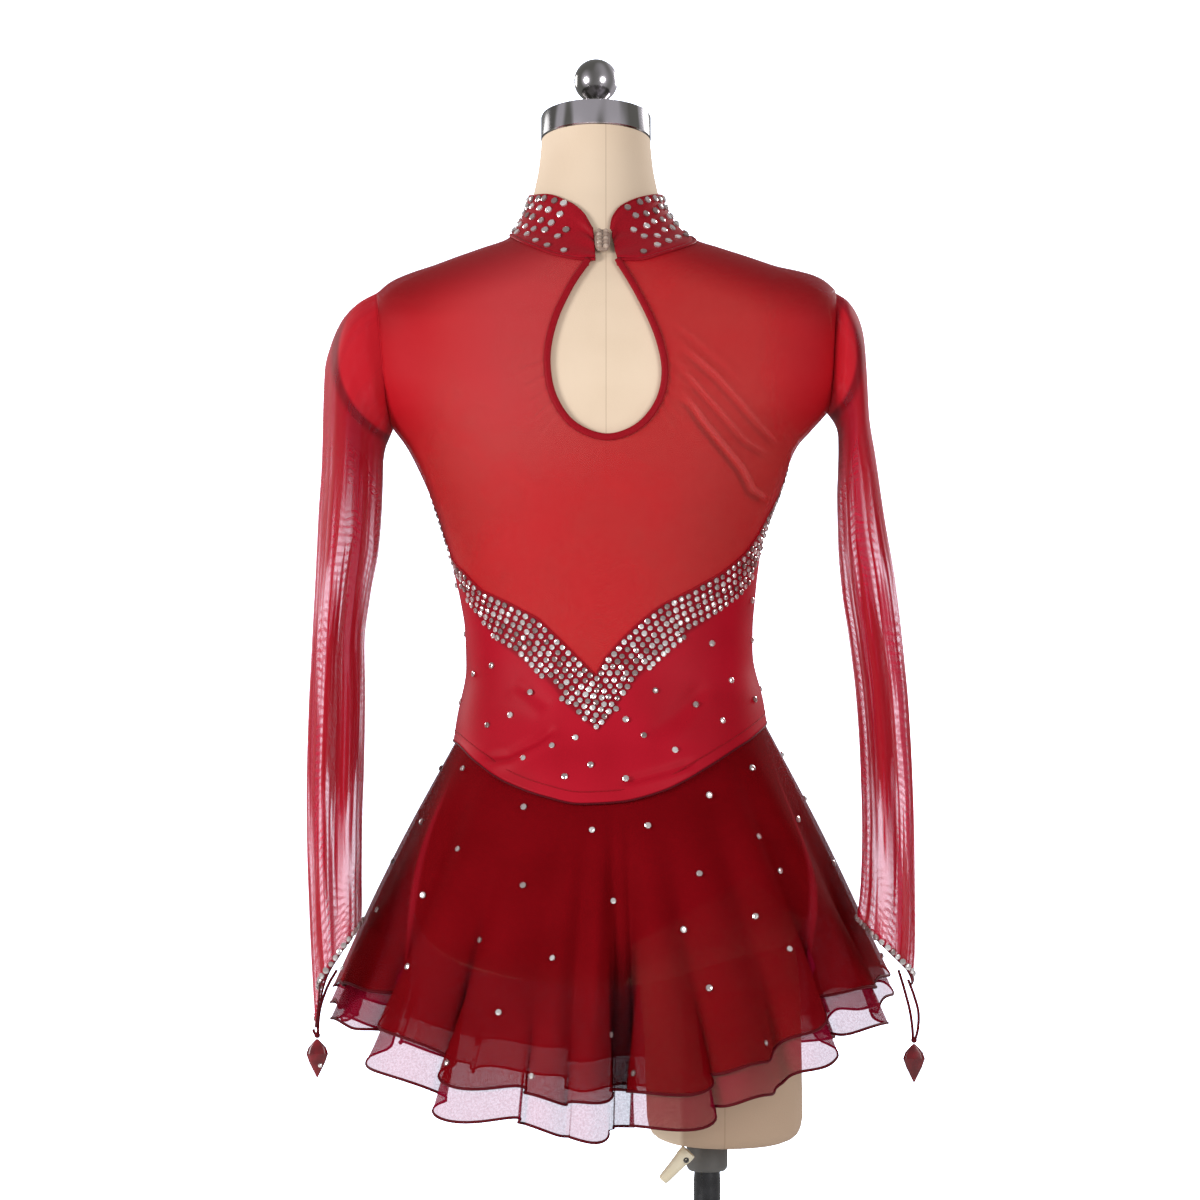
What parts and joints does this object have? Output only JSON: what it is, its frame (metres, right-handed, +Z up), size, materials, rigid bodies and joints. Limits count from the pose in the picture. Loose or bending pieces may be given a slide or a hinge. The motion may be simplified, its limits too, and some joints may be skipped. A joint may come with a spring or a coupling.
{
  "type": "figure skating dress on a dress form",
  "caption": "Long-sleeved skating dress with a two-layer flared skirt and a keyhole back, worn by a limbless dress form on a pole stand.",
  "frame": {"origin": "on the floor under the middle of the shoulders, on the underside of the stand's base", "axes": "+Z up, -Y the wearer's back, +X the wearer's right"},
  "size_m": [0.5404, 0.4135, 1.383],
  "materials": {
    "form_cloth": "matte stretch cover over a firm form",
    "cap_metal": "polished",
    "stand_black": "gloss black",
    "stand_grey": "matte grey",
    "peg_cream": "satin cream",
    "mesh_red": "sheer stretch mesh",
    "sleeve_red": "sheer mesh",
    "bodice_red": "opaque stretch satin",
    "skirt_red": "sheer chiffon",
    "lining_red": "sheer chiffon",
    "brief_red": "opaque stretch satin",
    "trim_red": "satin binding",
    "crystal": "beaded, translucent grey-brown"
  },
  "bodies": {
    "root": {"form_torso": "form_cloth", "form_cap": "cap_metal", "form_knob": "cap_metal", "form_peg": "peg_cream", "stand_collar": "stand_grey", "stand_pole": "stand_black", "stand_base": "stand_black", "back_yoke": "mesh_red", "front_yoke": "mesh_red", "back_bodice": "bodice_red", "front_bodice": "bodice_red", "collar": "trim_red", "clasp": "crystal", "keyhole_binding": "trim_red", "sleeve_left": "sleeve_red", "sleeve_right": "sleeve_red", "skirt_outer": "skirt_red", "skirt_inner": "lining_red", "brief": "brief_red", "finger_loop_left": "trim_red", "loop_leaf_left": "trim_red", "finger_loop_right": "trim_red", "loop_leaf_right": "trim_red"}
  },
  "joints": []
}
